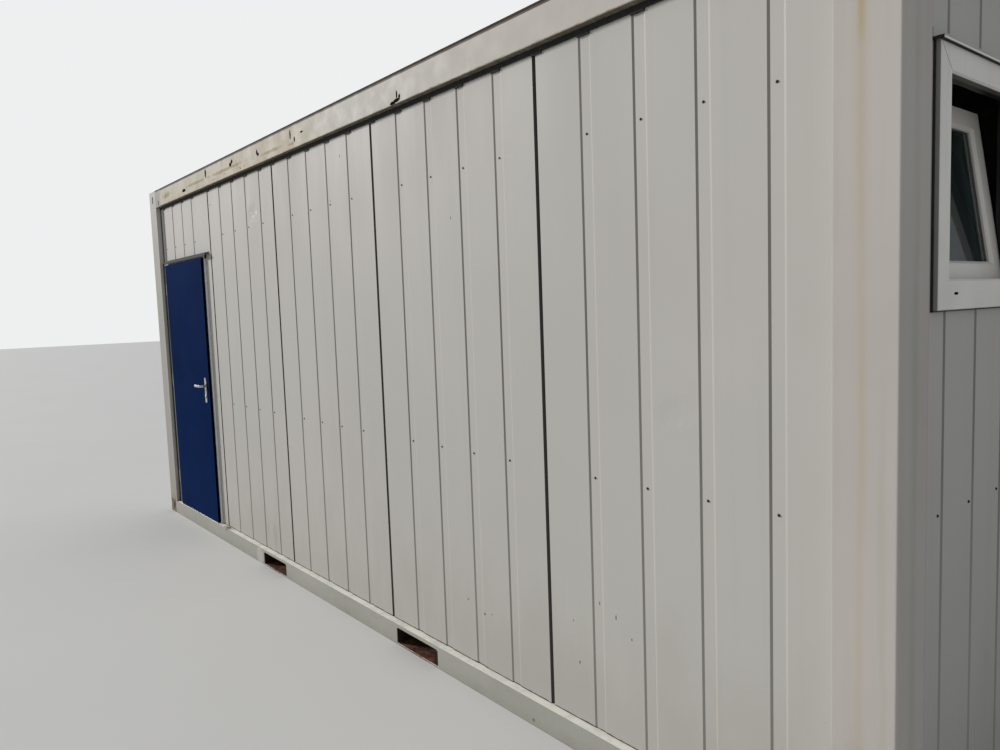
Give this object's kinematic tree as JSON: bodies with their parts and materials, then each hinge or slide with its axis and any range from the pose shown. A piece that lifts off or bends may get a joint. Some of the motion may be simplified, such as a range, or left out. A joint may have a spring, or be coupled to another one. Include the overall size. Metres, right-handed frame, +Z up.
{
  "type": "portable site cabin",
  "caption": "Steel-framed portable site cabin with ribbed sandwich walls, a hinged steel door with lever handle, a tilted window, fork pockets and corner castings",
  "frame": {"origin": "centre of the footprint on the ground", "axes": "+X along the length towards the window end, the door is in the -Y wall, +Z up"},
  "size_m": [6.058, 2.4815, 2.675],
  "materials": {
    "frame_grey": "light grey paint, dirty and chipped",
    "rail_cream": "cream white paint with green and brown stains",
    "wall_white": "light grey-white coated sheet, satin, dusty",
    "door_blue": "deep blue paint, satin",
    "door_frame_grey": "light grey paint",
    "casting_brown": "grey-brown worn paint with rust",
    "galvanised": "galvanised sheet, spangled and dull",
    "tunnel_rust": "rusty painted steel",
    "edge_dark": "dark brown weathered roof edge",
    "floor_vinyl": "grey flecked vinyl",
    "ceiling_white": "white faced board",
    "timber": "sawn softwood",
    "foam_black": "black foam",
    "pvc_white": "white plastic profile, slightly dusty",
    "clear_glass": "double glazing, faintly green",
    "bright_steel": "brushed stainless steel",
    "aluminium": "mill finish, scuffed"
  },
  "bodies": {
    "cabin": {"back_panel_1": "wall_white", "back_panel_2": "wall_white", "back_panel_3": "wall_white", "back_panel_4": "wall_white", "back_panel_5": "wall_white", "bottom_corner_castings": "casting_brown", "bottom_rail_back": "frame_grey", "bottom_rail_front": "frame_grey", "bottom_rail_left": "frame_grey", "bottom_rail_right": "frame_grey", "ceiling": "ceiling_white", "corner_post_back_left": "frame_grey", "corner_post_back_right": "frame_grey", "corner_post_front_left": "frame_grey", "corner_post_front_right": "frame_grey", "door_drip": "door_frame_grey", "door_frame_head": "door_frame_grey", "door_head_panel": "wall_white", "door_jamb_left": "door_frame_grey", "door_jamb_right": "door_frame_grey", "door_side_panel": "wall_white", "door_threshold": "aluminium", "floor_deck": "floor_vinyl", "floor_joists": "galvanised", "fork_tunnels": "tunnel_rust", "front_panel_1": "wall_white", "front_panel_2": "wall_white", "front_panel_3": "wall_white", "front_panel_4": "wall_white", "hinges_on_jamb": "door_frame_grey", "left_end_panel_1": "wall_white", "left_end_panel_2": "wall_white", "right_end_panel_1": "wall_white", "right_end_panel_2": "wall_white", "roof_edge": "edge_dark", "roof_purlins": "timber", "roof_sheet": "galvanised", "top_corner_castings": "frame_grey", "top_rail_back": "rail_cream", "top_rail_front": "rail_cream", "top_rail_left": "rail_cream", "top_rail_right": "rail_cream", "wall_top_seals": "foam_black", "window_flashing": "wall_white", "window_frame": "pvc_white", "window_glass": "clear_glass", "window_sash": "pvc_white"},
    "door": {"door_leaf": "door_blue", "hinges_on_leaf": "door_frame_grey", "handle_plates": "bright_steel", "lock_cylinder": "bright_steel"},
    "levers": {"door_levers": "bright_steel"}
  },
  "joints": [
    {"name": "door_hinge", "type": "hinge", "parent": "cabin", "child": "door", "pos_m": [-2.751, -1.208, 1.1], "axis": [0, 0, -1], "range_deg": [0, 105]},
    {"name": "lever_turn", "type": "hinge", "parent": "door", "child": "levers", "pos_m": [-1.935, -1.19, 1.128], "axis": [0, -1, 0], "range_deg": [0, 40], "stiffness_Nm_per_rad": 1.2, "springref_deg": -34.38}
  ]
}
